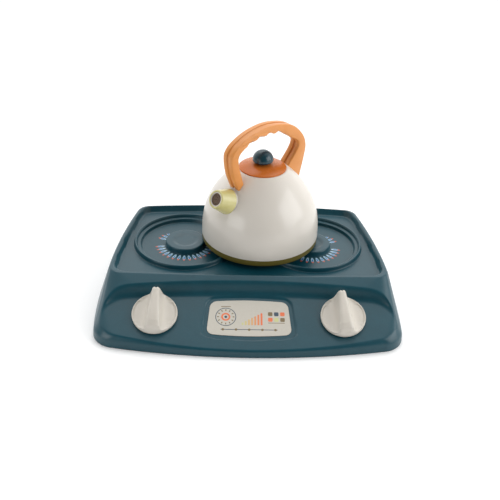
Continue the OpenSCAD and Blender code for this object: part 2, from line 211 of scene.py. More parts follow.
floor_mesh = bpy.data.meshes.new("floor")
floor_mesh.from_pydata([(-6, -4, 0), (6, -4, 0), (6, 6, 0), (-6, 6, 0)], [], [(0, 1, 2, 3)])
floor = bpy.data.objects.new("floor", floor_mesh)
bpy.context.scene.collection.objects.link(floor)
sweep_paint = Paint("white_sweep", Base_Color=srgb(247, 247, 247), Roughness=0.6,
                    Emission_Color=(1, 1, 1, 1), Emission_Strength=0.06)
floor_mesh.materials.append(sweep_paint.material)

# ---------------------------------------------------------------- hob casing
# One injection-moulded shell in dark teal plastic, 291 mm wide: a rimmed tray with two
# burner pans at the back and a hollowed, sloping control panel at the front. The mould was
# spark-eroded to a fine satin grain, and a ring of flames is printed round each burner cap.

HOB_W, HOB_D, HOB_H = 291.2, 207.0, 45.0
SKIRT_H, LIP_H = 7.0, 11.0
TRAY_Z = 39.0
TRAY_FRONT = -36.5
RIM_W = 5.0
EDGE_R = 2.6
RIM_ROUND, FLOOR_ROUND = 1.1, 1.3
TILT = math.radians(22)
PANEL_Y, PANEL_Z = -67.6, 21.9

# Arcs that bound a plan: half width, side radius, side centre, front, front radius,
# back, back radius, front corner, back corner
floor_plan = (HOB_W / 2, 442, -30, -HOB_D / 2, 694, HOB_D / 2, 1000, 16, 14)
shoulder_plan = (HOB_W / 2 - 5, 442, -30, -99.5, 694, 60, 1000, 17, 20)
top_plan = (HOB_W / 2 - 11.6, 575, -52, -40, 4000, HOB_D / 2 - 3.9, 1000, 13, 9)
tray_plan = (top_plan[0] - RIM_W, 575, -52, TRAY_FRONT, 2500, top_plan[5] - 1.6, 1000, 14, 9)
tray_floor_plan = (tray_plan[0] - 0.8, 575, -52, TRAY_FRONT + 1, 2500, tray_plan[5] - 3.6, 1000,
                   14, 9)
scoop_plan = (139.5, 601, -25, -140, 4000, 23.4, 1500, 20, 24)
scoop_top_plan = (142.5, 604, -25, -140, 4000, 34.4, 1511, 20, 28)


def side_of(plan, y):
    """Half the width at y, on a side arc: edge - radius + sqrt(radius^2 - (y - centre)^2)."""
    return plan[0] - plan[1] + np.sqrt(plan[1] ** 2 - (y - plan[2]) ** 2)


def front_of(plan, x):
    """The front arc's y at x: front + radius - sqrt(radius^2 - x^2)."""
    return plan[3] + plan[4] - np.sqrt(plan[4] ** 2 - x ** 2)


def back_of(plan, x):
    """The back arc's y at x: back - radius + sqrt(radius^2 - x^2)."""
    return plan[5] - plan[6] + np.sqrt(plan[6] ** 2 - x ** 2)


def inside(plan, x, y):
    """How far a point is inside a plan: the least of its distances to the side, front and
    back arcs, and near a corner the corner radius less the distance to the corner's centre."""
    side = side_of(plan, y) - np.abs(x)
    front, back = y - front_of(plan, x), back_of(plan, x) - y
    gap = np.minimum(side, np.minimum(front, back))
    for end, r in ((front, plan[7]), (back, plan[8])):
        round_off = r - np.hypot(r - side, r - end)
        gap = np.where((side < r) & (end < r), round_off, gap)
    return gap


def soft_min(a, b, k):
    """The lower of two heights, with the crease between them rounded over a height k."""
    return np.minimum(a, b) - np.maximum(k - np.abs(a - b), 0) ** 2 / (4 * k)


def smooth(t):
    """An S-shaped step from 0 to 1: t squared times (3 - 2 t), with t held to 0 to 1."""
    t = np.clip(t, 0, 1)
    return t * t * (3 - 2 * t)


def corner_of(plan, meet, y):
    """Where the side meets the front or the back, found by stepping between the two arcs."""
    for _ in range(6):
        y = meet(plan, side_of(plan, y))
    return np.array([side_of(plan, y), y])


CONIC = 1.414  # twice the weight of a conic that runs as a quarter circle


def outline(plan, margin, n=22):
    """A plan drawn in by a margin: its right half from front to back, as points along its
    three arcs with a conic of weight 0.707 round each corner."""
    plan = np.array(plan) - margin * np.array([1, 1, 0, -1, 1, 1, 1, 1, 1])
    front, back = corner_of(plan, front_of, plan[3]), corner_of(plan, back_of, plan[5])
    t = np.linspace(0, 1, n)
    x = t * (front[0] - plan[7])
    front_arc = np.stack([x, front_of(plan, x)], 1)
    y = front[1] + plan[7] + t * (back[1] - plan[8] - front[1] - plan[7])
    side_arc = np.stack([side_of(plan, y), y], 1)
    x = (1 - t) * (back[0] - plan[8])
    back_arc = np.stack([x, back_of(plan, x)], 1)
    t = t[1:-1, None]
    first, middle, last = (1 - t) ** 2, CONIC * t * (1 - t), t ** 2
    rounds = [(first * p + middle * corner + last * q) / (first + middle + last)
              for p, corner, q in ((front_arc[-1], front, side_arc[0]), (side_arc[-1], back, back_arc[0]))]
    return np.concatenate([front_arc, rounds[0], side_arc, rounds[1], back_arc])


# The casing's outlines: (height, plan, margin)
shell_levels = [(-1, floor_plan, 0), (SKIRT_H, floor_plan, 0.5), (8.4, floor_plan, 0.8),
                (9.6, floor_plan, 1.5), (10.5, floor_plan, 2.2), (LIP_H, floor_plan, 3.0),
                (LIP_H + 5, shoulder_plan, 0)]
shell_levels += [(HOB_H - EDGE_R * (1 - math.sin(a)), top_plan, EDGE_R * (1 - math.cos(a)))
                 for a in np.linspace(0, math.pi / 2, 7)]
hull_points = np.concatenate([np.insert(outline(plan, margin), 2, z, axis=1)
                              for z, plan, margin in shell_levels])
hull_points = np.unique(np.concatenate([hull_points, hull_points * [-1, 1, 1]]).round(5), axis=0)
hull_mesh = bpy.data.meshes.new("casing_hull")
hull_mesh.from_pydata(hull_points.tolist(), [], [])
hull = bmesh.new()
hull.from_mesh(hull_mesh)
bmesh.ops.convex_hull(hull, input=hull.verts)
hull_corners = hull_points[[[v.index for v in face.verts] for face in hull.faces]]
hull.free()
bpy.data.meshes.remove(hull_mesh)
hull_normals = np.cross(hull_corners[:, 1] - hull_corners[:, 0],
                        hull_corners[:, 2] - hull_corners[:, 0])
hull_normals *= np.sign(((hull_corners[:, 0] - [0, 0, 10]) * hull_normals).sum(1))[:, None]
upward = hull_normals[:, 2] > 0.002 * np.linalg.norm(hull_normals, axis=1)
hull_normals, hull_corners = hull_normals[upward], hull_corners[upward]
hull_slopes = -hull_normals[:, :2] / hull_normals[:, 2:]
hull_starts = hull_corners[:, 0, 2] - (hull_slopes * hull_corners[:, 0, :2]).sum(1)


def shell_height(x, y):
    """Outside of the casing before it is hollowed, the convex hull of its outlines: at each
    point the lowest of the planes of the hull's facets."""
    height = np.full(np.shape(x), HOB_H)
    for (slope_x, slope_y), start in zip(hull_slopes, hull_starts):
        np.minimum(height, start + slope_x * x + slope_y * y, out=height)
    return np.maximum(height, SKIRT_H)


def tray_height(x, y):
    """The tray: its floor, and a wall that eases from the rim down to it."""
    in_rim, in_floor = inside(tray_plan, x, y), inside(tray_floor_plan, x, y)
    rim_side = np.maximum(in_rim + RIM_ROUND, 0)
    floor_side = np.maximum(FLOOR_ROUND - in_floor, 1e-6)
    share = rim_side / (rim_side + floor_side)
    share = np.where(in_floor > FLOOR_ROUND, 1, share)
    return np.where(in_rim < -RIM_ROUND, 99.0, HOB_H - (HOB_H - TRAY_Z) * smooth(share))


LABEL_V = -3.6
LABEL_W, LABEL_L, LABEL_BOW, LABEL_CORNER = 75.0, 34.0, 2.0, 6.0
RECESS_DEPTH, RECESS_GROW, RECESS_WALL = 1.2, 4.2, 0.4
SCOOP_FOOT, SCOOP_FOOT_W, SCOOP_WALL = 2.6, 5, 13.4


def inside_label(x, v, grow):
    """How far a point is inside the label's outline: bowed ends, sides that spread downwards."""
    v = v - LABEL_V
    side = LABEL_W / 2 + grow - 1.5 * v / (LABEL_L / 2) - np.abs(x)
    end = LABEL_L / 2 + grow + LABEL_BOW * (1 - (x / (LABEL_W / 2)) ** 2) - np.abs(v)
    r = LABEL_CORNER + grow / 2
    round_off = r - np.hypot(np.maximum(r - side, 0), np.maximum(r - end, 0))
    return np.where((side < r) & (end < r), round_off, np.minimum(side, end))


def scoop_height(x, y):
    """The hollow of the control panel, found by a few steps in the panel's own tilted axes:
    a flat floor, a fillet, and a wall that flares up to the shoulders."""
    height = PANEL_Z + math.tan(TILT) * (y - PANEL_Y)
    for _ in range(14):
        v = (y - PANEL_Y) * math.cos(TILT) + (height - PANEL_Z) * math.sin(TILT)
        low, high = inside(scoop_plan, x, v), inside(scoop_top_plan, x, v)
        fillet = SCOOP_FOOT * (np.clip(SCOOP_FOOT_W - low, 0, SCOOP_FOOT_W) / SCOOP_FOOT_W) ** 2
        wall = SCOOP_FOOT + SCOOP_WALL * -low / np.maximum(high - low, 0.5)
        off = np.where(low > 0, fillet, wall)
        off = np.minimum(off, 40)
        wanted = PANEL_Z + (off + (y - PANEL_Y) * math.sin(TILT)) / math.cos(TILT)
        height = height + 0.6 * (wanted - height)
    v = (y - PANEL_Y) * math.cos(TILT) + (height - PANEL_Z) * math.sin(TILT)
    return height, v


def casing_height(x, y):
    """The casing's outside: the lowest of the shell, the tray, and the scoop with the label's
    recess sunk in it."""
    scoop, v = scoop_height(x, y)
    sunk = smooth(inside_label(x, v, RECESS_GROW) + RECESS_WALL)
    scoop = scoop - RECESS_DEPTH / math.cos(TILT) * sunk
    height = soft_min(shell_height(x, y), scoop, 3.0)
    return soft_min(height, tray_height(x, y), 0.25)


def spaced(*stretches):
    """Lines laid along an axis: each stretch is (from, to, step)."""
    lines = [np.linspace(a, b, max(int(round((b - a) / s)), 1), endpoint=False)
             for a, b, s in stretches]
    return np.concatenate(lines + [[stretches[-1][1]]])


half_w, half_d = HOB_W / 2, HOB_D / 2
right_lines = spaced((0, 33, 1.5), (33, 43, 0.6), (43, 118, 1.45), (118, 130, 0.9), (130, 145.6, 0.5))
x_lines = np.concatenate([-right_lines[:0:-1], right_lines]) / half_w
y_lines = spaced((-103.5, -96, 0.5), (-96, -87, 0.6), (-87, -55, 1.2), (-55, -34, 0.6), (-34, 86, 1.5),
                 (86, 103.5, 0.55)) / half_d
u, w = np.meshgrid(x_lines, y_lines)
edge_plan = tuple(np.array(floor_plan) + [-0.5, -0.5, 0, 0.5, -0.5, -0.5, -0.5, -0.5, -0.5])
grid_x = u * half_w
for _ in range(4):
    front, back = front_of(edge_plan, grid_x), back_of(edge_plan, grid_x)
    grid_y = front + (back - front) * (w + 1) / 2
    grid_x = u * side_of(edge_plan, grid_y)
# Corner squares of the grid are pulled into quarter discs
side_gap = side_of(edge_plan, grid_y) - np.abs(grid_x)
grid_ends = ((front_of, grid_y - front, edge_plan[7], 1), (back_of, back - grid_y, edge_plan[8], -1))
for end_of, end_gap, r, sign in grid_ends:
    p, q = np.clip(1 - side_gap / r, 0, 1), np.clip(1 - end_gap / r, 0, 1)
    new_x = grid_x + np.sign(grid_x) * r * (p * np.sqrt(1 - q * q / 2) - p)
    new_y = grid_y - sign * r * (q * np.sqrt(1 - p * p / 2) - q)
    lean_x = np.sign(grid_x) * (side_of(edge_plan, new_y) - side_of(edge_plan, grid_y))
    lean_y = end_of(edge_plan, new_x) - end_of(edge_plan, grid_x)
    grid_x, grid_y = new_x + lean_x, new_y + lean_y
grid_z = casing_height(grid_x, grid_y)
edge = np.zeros(grid_z.shape, bool)
edge[0] = edge[-1] = edge[:, 0] = edge[:, -1] = True
grid_z[edge] = SKIRT_H

BURNER_X, BURNER_Y, BURNER_FLOOR = 63.6, 28.9, 36.5
RING_R, RING_Z, CAP_R, CAP_Z = 49.9, 43.6, 19.6, 42.4
PAN_R = 53.4  # the grid is cut out a little inside it, and the turned pan fills the hole


def grid_faces(rows, columns, wrap=False):
    """Quads between neighbours on a grid of points numbered row by row."""
    index = np.arange(rows * columns).reshape(rows, columns)
    if wrap:
        index = np.concatenate([index, index[:, :1]], 1)
    return np.stack([index[:-1, :-1], index[:-1, 1:], index[1:, 1:], index[1:, :-1]], -1).reshape(-1, 4)


casing_points = np.stack([grid_x, grid_y, grid_z], -1).reshape(-1, 3)
casing_faces = grid_faces(*grid_x.shape)
from_burner = np.hypot(np.abs(casing_points[:, 0]) - BURNER_X, casing_points[:, 1] - BURNER_Y)
casing_faces = casing_faces[(from_burner[casing_faces] > PAN_R - 1.4).any(1)]

# Skirt: rings that follow the grid's edge down to the floor and just under it
index = np.arange(grid_x.size).reshape(grid_x.shape)
loop = np.concatenate([index[0, :-1], index[:-1, -1], index[-1, :0:-1], index[:0:-1, 0]])
edge_points = casing_points[loop]
along = np.roll(edge_points, -1, 0) - np.roll(edge_points, 1, 0)
outward = np.stack([along[:, 1], -along[:, 0], 0 * along[:, 0]], 1)
outward /= np.linalg.norm(outward, axis=1)[:, None]
skirt_steps = [(SKIRT_H, 0), (4.5, 0.2), (2, 0.4), (0.7, 0.48), (0.25, 0.38), (0.05, 0.15), (0, -0.15)]
skirt = np.stack([edge_points * [1, 1, 0] + outward * out + [0, 0, z] for z, out in skirt_steps])
skirt_faces = grid_faces(len(skirt_steps), len(loop), wrap=True)[:, ::-1]


def fillets(corners, steps=4):
    """A profile through corners (r, z, fillet), each corner rounded on a parabola."""
    line = []
    for i, (r, z, size) in enumerate(corners):
        here = np.array([r, z], float)
        if size == 0 or i in (0, len(corners) - 1):
            line.append(here)
            continue
        before, after = (np.array(corners[j][:2], float) - here for j in (i - 1, i + 1))
        a = here + before * min(size / np.linalg.norm(before), 0.48)
        b = here + after * min(size / np.linalg.norm(after), 0.48)
        t = np.linspace(0, 1, steps + 1)[:, None]
        line.extend((1 - t) ** 2 * a + 2 * t * (1 - t) * here + t ** 2 * b)
    return np.array(line)


def revolve(profile, turns, place=Matrix.Identity(4)):
    """A profile (r, z) turned about z: x = r cos a, y = r sin a. It runs anticlockwise round
    its solid, from the bottom axis out and up to the top axis, so that faces point outwards."""
    a = np.linspace(0, 2 * math.pi, turns, endpoint=False)
    r, z = profile[:, :1], profile[:, 1:]
    points = np.stack([r * np.cos(a), r * np.sin(a), z + 0 * a], -1).reshape(-1, 3)
    return placed(points, place), grid_faces(len(profile), turns, wrap=True)


def placed(points, place):
    """Points carried along by a 4 x 4 placement."""
    turn = np.array(place)
    return points @ turn[:3, :3].T + turn[:3, 3]


burner_profile = fillets([
    (PAN_R, TRAY_Z - 0.03, 0), (RING_R + 1.3, TRAY_Z, 1.0), (RING_R + 1.0, 42.4, 0.6),
    (RING_R + 0.5, RING_Z, 0.7), (RING_R - 0.5, RING_Z, 0.7), (RING_R - 1.5, 42.2, 0.5),
    (RING_R - 2, 40.3, 0.7), (RING_R - 4.9, 40.3, 0.8), (RING_R - 6, BURNER_FLOOR, 1.2),
    (34, BURNER_FLOOR, 0), (21.8, BURNER_FLOOR, 0), (CAP_R + 0.7, BURNER_FLOOR, 0.6),
    (CAP_R, 41.6, 0.5), (CAP_R - 0.9, CAP_Z, 0.9), (CAP_R - 6.6, CAP_Z, 1.2),
    (CAP_R - 10.1, CAP_Z - 1.1, 1.2), (0.05, CAP_Z - 1.1, 0)])

# The underside comes from the casing's solid: its inner walls, ribs, bosses and foot edge
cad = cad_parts["hob_casing"].data
cad_points = np.empty(len(cad.vertices) * 3)
cad.vertices.foreach_get("co", cad_points)
cad_points = cad_points.reshape(-1, 3) / MM
cad.calc_loop_triangles()
cad_faces = np.empty(len(cad.loop_triangles) * 3, int)
cad.loop_triangles.foreach_get("vertices", cad_faces)
cad_faces = cad_faces.reshape(-1, 3)
corner = cad_points[cad_faces]
centre = corner.mean(1)
normal = np.cross(corner[:, 1] - corner[:, 0], corner[:, 2] - corner[:, 0])
normal /= np.maximum(np.linalg.norm(normal, axis=1), 1e-9)[:, None]
depth = casing_height(centre[:, 0], centre[:, 1]) - centre[:, 2]
burner_r = np.hypot(np.abs(centre[:, 0]) - BURNER_X, centre[:, 1] - BURNER_Y)
below_floor = (centre[:, 2] < BURNER_FLOOR + 0.2) & (normal[:, 2] < 0.5)
under_cap = (burner_r < CAP_R - 1.3) & (centre[:, 2] < CAP_Z - 1.4)
under_pan = below_floor | under_cap
foot = (normal[:, 2] < -0.9) & (centre[:, 2] < 0.1)
within = inside(floor_plan, centre[:, 0], centre[:, 1]) > 1.2
inner = np.where(burner_r < PAN_R - 1.8, under_pan, (depth > 1.2) & within & (normal[:, 2] < 0.6))
cad_faces = cad_faces[inner | foot]


def join(parts):
    """One list of points and faces from several (points, faces)."""
    points, faces, start = [], [], 0
    for part_points, part_faces in parts:
        points.append(part_points)
        faces.extend((part_faces + start).tolist())
        start += len(part_points)
    return np.concatenate(points), faces


def add_piece(name, parts, body, nodes, paint, closed=False, weld=0.002):
    """A mesh piece from millimetre parts, that rides on a body and stands for CAD nodes."""
    points, faces = join(parts)
    mesh = bpy.data.meshes.new(name)
    mesh.from_pydata((points * MM).tolist(), [], faces)
    mesh.materials.append(paint.material)
    piece = bpy.data.objects.new(name, mesh)
    bpy.context.scene.collection.objects.link(piece)
    shape = bmesh.new()
    shape.from_mesh(mesh)
    bmesh.ops.remove_doubles(shape, verts=shape.verts, dist=weld * MM)
    bmesh.ops.dissolve_degenerate(shape, edges=shape.edges, dist=weld * MM * 0.5)
    if closed:
        bmesh.ops.recalc_face_normals(shape, faces=shape.faces)
    shape.to_mesh(mesh)
    shape.free()
    mesh.polygons.foreach_set("use_smooth", np.ones(len(mesh.polygons), bool))
    mesh.set_sharp_from_angle(angle=math.radians(50))
    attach(piece, body)
    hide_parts(*nodes)
    return piece


def at(x, y, z=0.0):
    return Matrix.Translation((x, y, z))


casing_paint = Paint("teal_satin_plastic", Specular_IOR_Level=0.45)
px, py, pz = casing_paint.axes()
mottle = casing_paint.noise(0.09, 4.0, 0.6)
fine = casing_paint.noise(2.6, 2.0, 0.6)
teal = casing_paint.mix(mottle, srgb(4, 56, 68), srgb(14, 68, 81))
teal = casing_paint.mix(casing_paint.step(fine, 0.35, 0.7) * 0.25, teal, srgb(28, 84, 96))
# Flames: ovals in a ring, each orange at its outer end with a pale blue heart
FLAMES, FLAME_R, FLAME_LONG, FLAME_WIDE = 32, 25.8, 4.8, 1.3
across = abs(px) - BURNER_X
ahead = py - BURNER_Y
from_middle = (across * across + ahead * ahead).math("SQRT")
turn = ahead.math("ARCTAN2", across) * (FLAMES / (2 * math.pi))
sideways = (turn - turn.math("ROUND")) * from_middle * (2 * math.pi / FLAMES)
lengthways = from_middle - FLAME_R


def oval(long, wide, shift):
    """1 inside an oval that lies along the ring's radius, shifted outwards."""
    a, b = sideways / wide, (lengthways - shift) / long
    return 1 - casing_paint.step((a * a + b * b).math("SQRT"), 0.86, 1.1)


# They are printed on the pan's floor alone, with none behind the cap and a gap at each side
flame_zone = casing_paint.step(pz, 36.9, 36.7) * casing_paint.step(pz, 35.6, 36.2)
flame_zone = flame_zone * (1 - casing_paint.step(ahead, 19.8, 20.1))
flame_zone = flame_zone * casing_paint.step(abs(ahead - 3.0), 5.0, 5.4)
flame = oval(FLAME_LONG, FLAME_WIDE, 0.0) * flame_zone
tip = casing_paint.step(lengthways, 1.2, 3.2)
flame_colour = casing_paint.mix(tip, srgb(176, 206, 224), srgb(196, 84, 34))
heart = oval(FLAME_LONG * 0.55, FLAME_WIDE * 0.6, 0.2)
flame_colour = casing_paint.mix(heart, flame_colour, srgb(30, 104, 160))
teal = casing_paint.mix(flame, teal, flame_colour)
casing_paint.put("Base Color", teal)
casing_paint.put("Roughness", casing_paint.mix_values(fine, 0.27, 0.38))
casing_paint.bump(casing_paint.noise(1.6, 3.0, 0.65), 0.035, 0.8)

casing_parts = [(casing_points, casing_faces), (skirt.reshape(-1, 3), skirt_faces),
                (cad_points, cad_faces)]
casing_parts += [revolve(burner_profile, 160, at(s * BURNER_X, BURNER_Y)) for s in (-1, 1)]
add_piece("hob_shell", casing_parts, "hob", ["hob_casing"], casing_paint)

# ---------------------------------------------------------------- control label
# A die-cut sticker of cream vinyl, 75 x 38 mm, laid in the panel's shallow recess. It is
# printed in navy, olive, lime and orange: a dial, a rising heat scale and six keys.

LABEL_T = 0.5
panel_place = at(0, PANEL_Y, PANEL_Z) @ Matrix.Rotation(TILT, 4, "X")
a = np.linspace(0, 2 * math.pi, 240, endpoint=False)
# The outline is found by stepping out along rays from the middle until inside() is nought
reach = np.full(a.shape, 10.0)
for _ in range(40):
    gap = inside_label(reach * np.cos(a), reach * np.sin(a) + LABEL_V, 0)
    reach = reach + gap * 0.9
# Rings of the sticker: (share of the reach, margin, height)
label_rings = [(1.0, 0.0, 0.0), (1.0, 0.0, LABEL_T - 0.15), (1.0, 0.12, LABEL_T), (1.0, 0.5, LABEL_T),
               (0.66, 0, LABEL_T), (0.33, 0, LABEL_T), (0.001, 0, LABEL_T)]
label_points = np.stack([
    np.stack([(reach * f - m) * np.cos(a), (reach * f - m) * np.sin(a) + LABEL_V,
              np.full(a.shape, z - RECESS_DEPTH)], -1) for f, m, z in label_rings])
label_paint = Paint("printed_vinyl", Roughness=0.38)
label_x, py, pz = label_paint.axes()
panel_start = PANEL_Y * math.cos(TILT) + PANEL_Z * math.sin(TILT)
label_y = py * math.cos(TILT) + pz * math.sin(TILT) - panel_start - LABEL_V
INK_BLUR = 0.12


def disc(x, y, r):
    """1 inside a printed disc of radius r at (x, y) on the label."""
    dx, dy = label_x - x, label_y - y
    return 1 - label_paint.step((dx * dx + dy * dy).math("SQRT"), r - INK_BLUR, r + INK_BLUR)


def block(x, y, wide, tall, r=0.3):
    """1 inside a printed block with rounded corners, centred at (x, y)."""
    dx = (abs(label_x - x) - (wide / 2 - r)).math("MAXIMUM", 0.0)
    dy = (abs(label_y - y) - (tall / 2 - r)).math("MAXIMUM", 0.0)
    return 1 - label_paint.step((dx * dx + dy * dy).math("SQRT"), r - INK_BLUR, r + INK_BLUR)


NAVY, OLIVE = srgb(52, 70, 86), srgb(118, 100, 66)
LIME, ORANGE = srgb(196, 196, 138), srgb(222, 112, 66)
print_colour = label_paint.mix(label_paint.noise(0.5), srgb(188, 183, 171), srgb(196, 191, 180))
DIAL_X, DIAL_Y = -21.5, 1.0
dx, dy = label_x - DIAL_X, label_y - DIAL_Y
ticks = dy.math("ARCTAN2", dx) * (12 / (2 * math.pi))
tick = 1 - label_paint.step(abs(ticks - ticks.math("ROUND")), 0.10, 0.16)
inks = [
    (disc(DIAL_X, DIAL_Y, 9.6) - disc(DIAL_X, DIAL_Y, 8.9), NAVY),
    ((disc(DIAL_X, DIAL_Y, 8.0) - disc(DIAL_X, DIAL_Y, 6.2)) * tick, OLIVE),
    (disc(DIAL_X, DIAL_Y, 4.2), ORANGE),
    (disc(DIAL_X, DIAL_Y, 2.6), srgb(192, 187, 175)),
    (disc(DIAL_X, DIAL_Y, 1.3), NAVY)]
BARS, BAR_X, BAR_FOOT, BAR_STEP, BAR_W = 7, -6.0, -7.4, 2.9, 1.8
for i in range(BARS):
    tall = 2.6 + 1.7 * i
    share = i / (BARS - 1)
    shade = tuple((1 - share) * np.array(LIME) + share * np.array(ORANGE))
    inks.append((block(BAR_X + BAR_STEP * i, BAR_FOOT + tall / 2, BAR_W, tall, 0.5), shade))
KEY_X, KEY_Y, KEY_W = 19.5, 4.6, 4.2
for i in range(3):
    for j in range(2):
        key = block(KEY_X + 5.6 * i, KEY_Y - 6.0 * j, KEY_W, KEY_W, 1.0)
        inks.append((key, (OLIVE, NAVY, ORANGE, LIME)[(i + 2 * j) % 4]))
# A line with five dots runs along the lower edge, and short bars lie under the keys and
# over the dial
DOTTED_Y, DOTS, DOT_STEP = -12.2, 5, 12
inks.append((block(0, DOTTED_Y, 52, 0.7), NAVY))
inks += [(disc(-24 + DOT_STEP * i, DOTTED_Y, 1.25), OLIVE) for i in range(DOTS)]
inks.append((block(25, -4.9, 15.4, 0.6), OLIVE))
inks.append((block(DIAL_X, 12.0, 9, 0.7), OLIVE))
for mask, shade in inks:
    print_colour = label_paint.mix(mask, print_colour, shade)
label_paint.put("Base Color", print_colour)
label_paint.bump(label_paint.noise(3.0, 2.0), 0.01, 0.6)
label_grid = (placed(label_points.reshape(-1, 3), panel_place),
              grid_faces(len(label_rings), len(a), wrap=True))
add_piece("label_sticker", [label_grid], "hob", ["control_label"], label_paint)

# ---------------------------------------------------------------- knobs
# Two cream plastic control knobs, 42 mm across: a thin dished disc with a bright rim, and a
# grip ridge across it, wide at the front and narrow at its pointer tip, with coved flanks.

KNOB_X, KNOB_V, KNOB_R, KNOB_RIM = 86.5, -2.2, 20.9, 4.0
FACE_R, DISH = KNOB_R - 0.45, 0.9
GRIP_H, DISC_GAP, STEM_R, STEM_L, SCREW_R = 18.5, 0.9, 5.0, 10.9, 1.5
WALL_LEAN, TOE_IN, TOP_HALF = math.radians(74), math.tan(math.radians(5.6)), 4.5
COVE_R, COVE_TAPER, CROWN_FALL, NOTCH = 5.8, 0.12, 1.5, 0.9
cream_paint = Paint("cream_knob_plastic")
cream_paint.colours(0.08, (198, 192, 181), (206, 200, 190))
cream_paint.sheen(1.2, 0.28, 0.4)
cream_paint.bump(cream_paint.noise(2.2, 2.0), 0.02, 0.5)

# The grip's top line from its front end to the pointer tip: (y, height)
grip_line = np.array([
    [-20.7, 2.6], [-20.2, 4.4], [-19, 7.6], [-16.8, 10.6], [-12.5, 13.0], [-4, 15.0], [6, 16.6],
    [14, 17.9], [17.4, GRIP_H], [18.9, GRIP_H - 0.3], [19.8, GRIP_H - 2], [20.4, 4.0]])


def knob_height(x, y):
    """The knob's face: a dished disc, and the section across the grip: a crown that falls
    away at its edges, a draughted wall, and a round cove at its foot that touches wall and
    disc and is smaller towards the pointer end, which has a small notch."""
    r = np.hypot(x, y)
    face = KNOB_RIM - DISH * smooth((KNOB_R - 1.0 - r) / 1.1)
    half = TOP_HALF - y * TOE_IN
    out = np.abs(x) - half
    top = np.interp(y, grip_line[:, 0], grip_line[:, 1])
    cove_r = COVE_R - COVE_TAPER * y
    foot = np.maximum(top - face, 0) / math.tan(WALL_LEAN)
    inward = foot + cove_r * math.tan(WALL_LEAN / 2) - out
    cove = cove_r - np.sqrt(cove_r ** 2 - np.clip(inward, 0, cove_r * math.sin(WALL_LEAN)) ** 2)
    wall = (foot - out) * math.tan(WALL_LEAN)
    flank = face + np.where(inward > cove_r * math.sin(WALL_LEAN), wall, cove)
    crown = top - CROWN_FALL * np.clip(np.abs(x) / (half + 0.3), 0, 1) ** 3.5
    crown = crown - NOTCH * smooth((1.1 - np.abs(x)) / 0.7) * smooth((y - 16.5) / 1.2)
    return np.maximum(face, soft_min(flank, crown, 1.2))


rows = np.sin(np.linspace(-math.pi / 2, math.pi / 2, 141)) * FACE_R
chord = np.sqrt(np.maximum(FACE_R ** 2 - rows ** 2, 0))
ridge_half = TOP_HALF - rows * TOE_IN
inner_share = np.array([0, 0.12, 0.24, 0.36, 0.5, 0.62, 0.73, 0.82, 0.89, 0.95, 1.0])
cove_steps = np.array([0.1, 0.22, 0.36, 0.55, 0.8, 1.15, 1.6, 2.2, 3.0, 4.0, 5.3, 7.0, 9.2, 12.0])
half_lines = np.concatenate([
    ridge_half[:, None] * inner_share[None, :],
    ridge_half[:, None] + cove_steps[None, :]], 1)
outer = np.linspace(0, 1, 10)[1:]
last = np.minimum(half_lines[:, -1], chord)
to_edge = last[:, None] + (chord - last)[:, None] * outer[None, :]
half_lines = np.concatenate([half_lines, to_edge], 1)
half_lines = np.minimum(half_lines, chord[:, None])
face_x = np.concatenate([-half_lines[:, :0:-1], half_lines], 1)
face_y = np.repeat(rows[:, None], face_x.shape[1], 1)
face_z = knob_height(face_x, face_y)
face_part = (np.stack([face_x, face_y, face_z], -1).reshape(-1, 3), grid_faces(*face_x.shape))
angles = np.concatenate([np.arctan2(rows, chord), np.arctan2(rows, -chord)[-2:0:-1]])
under_profile = fillets([
    (SCREW_R, -4, 0), (SCREW_R, -STEM_L, 0), (STEM_R, -STEM_L, 0.4), (STEM_R, DISC_GAP, 0.2),
    (KNOB_R - 0.2, DISC_GAP, 0.5), (KNOB_R, 1.8, 0.6), (KNOB_R, KNOB_RIM - 0.6, 0.5),
    (FACE_R, KNOB_RIM, 0)])


def knob_parts(side, turn):
    """One knob's face and underside, turned about its own axis and set on the panel."""
    place = panel_place @ at(side * KNOB_X, KNOB_V) @ Matrix.Rotation(math.radians(turn), 4, "Z")
    r, z = under_profile[:, :1], under_profile[:, 1:]
    under = np.stack([r * np.cos(angles), r * np.sin(angles), z + 0 * angles], -1)
    # The last ring takes the face's own height along its edge
    under[-1, :, 2] = knob_height(under[-1, :, 0], under[-1, :, 1])
    under_part = (under.reshape(-1, 3), grid_faces(len(under_profile), len(angles), wrap=True))
    return [(placed(points, place), faces) for points, faces in (face_part, under_part)]


for side, name, turn in ((-1, "left", -3), (1, "right", 5)):
    add_piece(name + "_knob_cream", knob_parts(side, turn), name + "_control", [name + "_knob"],
              cream_paint)

# ---------------------------------------------------------------- kettle body
# A blow-moulded dome of cream plastic, 117 mm across, with a filler hole on top and the
# boss and tube of the spout on its front left side. It has a soft, slightly wavy gloss.

KETTLE_X, KETTLE_Y, KETTLE_TURN = 11.5, 37.5, 222
KETTLE_R, BASE_H, SEAT_H, SHELL = 58.5, 6.2, 77.2, 2.0
DOME_START, DOME_H, DOME_POWER = 6.4, 86.8, 2.6
LID_R = 23.2
FILLER_R = LID_R - 3
SPOUT_S, SPOUT_H, SPOUT_TILT, SPOUT_L = 60.0, 62.7, 27, 16.0
SPOUT_R, SPOUT_BASE_R = 8.5, 12.6
STUB_R, BORE_R = 6.9, 6.0
kettle_place = at(KETTLE_X, KETTLE_Y, RING_Z) @ Matrix.Rotation(math.radians(KETTLE_TURN), 4, "Z")
spout_lean = Matrix.Rotation(math.radians(90 - SPOUT_TILT), 4, "Y")
spout_place = kettle_place @ at(SPOUT_S, 0, SPOUT_H) @ spout_lean


def dome_r(h):
    """Radius of the dome at a height: full near the foot, then falling as a power curve."""
    return KETTLE_R * (1 - (np.maximum(h - DOME_START, 0) / DOME_H) ** DOME_POWER)


